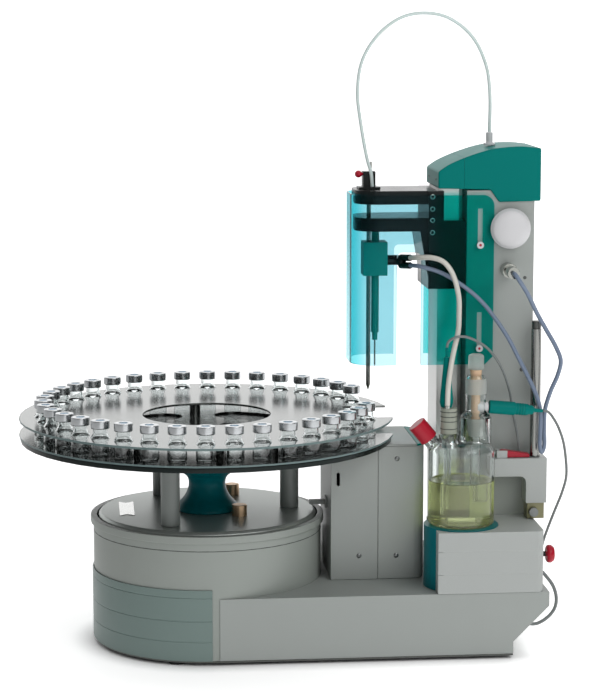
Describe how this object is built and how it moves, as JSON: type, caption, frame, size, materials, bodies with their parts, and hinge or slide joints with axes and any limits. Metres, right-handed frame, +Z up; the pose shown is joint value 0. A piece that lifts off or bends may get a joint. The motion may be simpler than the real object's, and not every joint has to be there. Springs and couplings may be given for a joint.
{
  "type": "oven autosampler",
  "caption": "Oven autosampler: a turntable rack of crimped vials beside a heated well, a lift with a needle behind a tinted sheet on a column, and a stirred glass cell.",
  "frame": {"origin": "middle of the rigid pieces' footprint, on the table", "axes": "+Z up, +X from the turntable towards the tower, +Y away from the cell's side"},
  "size_m": [0.6316, 0.437, 0.7319],
  "materials": {
    "grey_paint": "satin",
    "pale_paint": "satin",
    "drum_paint": "satin",
    "skirt_paint": "satin",
    "dark_metal": "brushed",
    "brushed": "brushed",
    "steel": "brushed",
    "chrome": "polished",
    "teal": "satin",
    "black": "anodised",
    "smoke": "gloss",
    "red": "gloss",
    "white": "matt",
    "glass": "polished",
    "shield_tint": "polished",
    "olive": "satin",
    "cable_grey": "matt",
    "hose_white": "satin"
  },
  "bodies": {
    "base": {"base_plate": "dark_metal", "base_housing": "grey_paint", "drum_body": "drum_paint", "drum_skirt": "skirt_paint", "turntable_bearing": "steel", "turntable_motor": "dark_metal", "oven_left_cover": "grey_paint", "oven_right_cover": "grey_paint", "oven_lid": "pale_paint", "oven_side_strip": "teal", "oven_heater_block": "brushed", "sensor_arm": "pale_paint", "tower_rail": "pale_paint", "tower_column": "grey_paint", "tower_hood": "teal", "tube_nut": "white", "lift_motor": "dark_metal", "filter_dome": "white", "heater_socket": "chrome", "stirrer_housing": "grey_paint", "stirrer_platform": "teal", "vessel": "glass", "indicator_electrode": "teal", "generator_electrode": "glass", "generator_plug": "teal", "support_rod": "steel", "rod_clamp": "olive", "cell_bracket": "pale_paint", "tube_loop": "hose_white", "gas_hose": "hose_white", "heater_cable": "cable_grey", "indicator_cable": "cable_grey", "generator_cable": "cable_grey", "rear_cable": "cable_grey"},
    "turntable": {"turntable_disc": "dark_metal", "turntable_shaft": "steel", "drive_gear": "brushed", "post_1": "brushed", "post_2": "brushed", "post_3": "brushed", "rack_hub": "teal", "rack_bottom_disc": "smoke", "rack_vial_plate": "brushed", "rack_top_plate": "brushed"},
    "motor_rotor": {"motor_pinion": "steel"},
    "lift": {"lift_carriage": "black", "needle_holder": "black", "needle_tube": "steel", "outlet_tube": "steel", "tube_heater": "teal", "outlet_connector": "black"},
    "needle_lock": {"needle_lock_knob": "red"},
    "screw": {"lead_screw": "steel"},
    "shield_body": {"shield": "shield_tint"},
    "lever": {"clamp_lever": "red"},
    "thumb": {"thumb_screw": "brushed"},
    "knob": {"stirrer_knob": "red"},
    "cap": {"cell_cap": "red"},
    "magnet": {"drive_magnet": "dark_metal"},
    "bar": {"stir_bar": "white"}
  },
  "joints": [
    {"name": "motor_spin", "type": "hinge", "parent": "base", "child": "motor_rotor", "pos_m": [-0.1643, -0.02822, 0.144], "axis": [0, 0, 1], "continuous": true},
    {"name": "turntable_turn", "type": "hinge", "parent": "base", "child": "turntable", "pos_m": [-0.08677, 0, 0.15], "axis": [0, 0, 1], "continuous": true},
    {"name": "lift_slide", "type": "slide", "parent": "base", "child": "lift", "axis": [0, 0, 1], "range_m": [-0.085, 0], "deforming": ["tube_loop", "gas_hose", "heater_cable"]},
    {"name": "lead_screw_spin", "type": "hinge", "parent": "base", "child": "screw", "pos_m": [0.19148, 0.02, 0.3], "axis": [0, 0, 1], "continuous": true},
    {"name": "shield_slide", "type": "slide", "parent": "base", "child": "shield_body", "axis": [0, 0, 1], "range_m": [-0.038, 0], "deforming": ["gas_hose", "heater_cable"]},
    {"name": "needle_lock_turn", "type": "hinge", "parent": "lift", "child": "needle_lock", "pos_m": [0.09723, -0.004, 0.546], "axis": [1, 0, 0], "range_deg": [0, 360]},
    {"name": "clamp_lever_lift", "type": "hinge", "parent": "base", "child": "lever", "pos_m": [0.25323, -0.063, 0.2252], "axis": [0, -1, 0], "range_deg": [0, 80]},
    {"name": "thumb_screw_turn", "type": "hinge", "parent": "base", "child": "thumb", "pos_m": [0.28823, -0.073, 0.1572], "axis": [0, 1, 0], "range_deg": [0, 360]},
    {"name": "stirrer_knob_push", "type": "slide", "parent": "base", "child": "knob", "axis": [-1, 0, 0], "range_m": [0, 0.005], "stiffness_N_per_m": 400, "springref_m": -0.003},
    {"name": "cell_cap_turn", "type": "hinge", "parent": "base", "child": "cap", "pos_m": [0.15523, -0.0905, 0.25798], "axis": [-0.6361, 0, 0.7716], "range_deg": [0, 360]},
    {"name": "magnet_spin", "type": "hinge", "parent": "base", "child": "magnet", "pos_m": [0.20023, -0.0905, 0.135], "axis": [0, 0, 1], "continuous": true},
    {"name": "stir_bar_spin", "type": "hinge", "parent": "base", "child": "bar", "pos_m": [0.20023, -0.0905, 0.156], "axis": [0, 0, 1], "continuous": true}
  ],
  "couplings": [
    {"joint": "turntable_turn", "follows": "motor_spin", "ratio": -0.1},
    {"joint": "lead_screw_spin", "follows": "lift_slide", "rad_per_m": 628.32},
    {"joint": "stir_bar_spin", "follows": "magnet_spin", "ratio": 1}
  ]
}
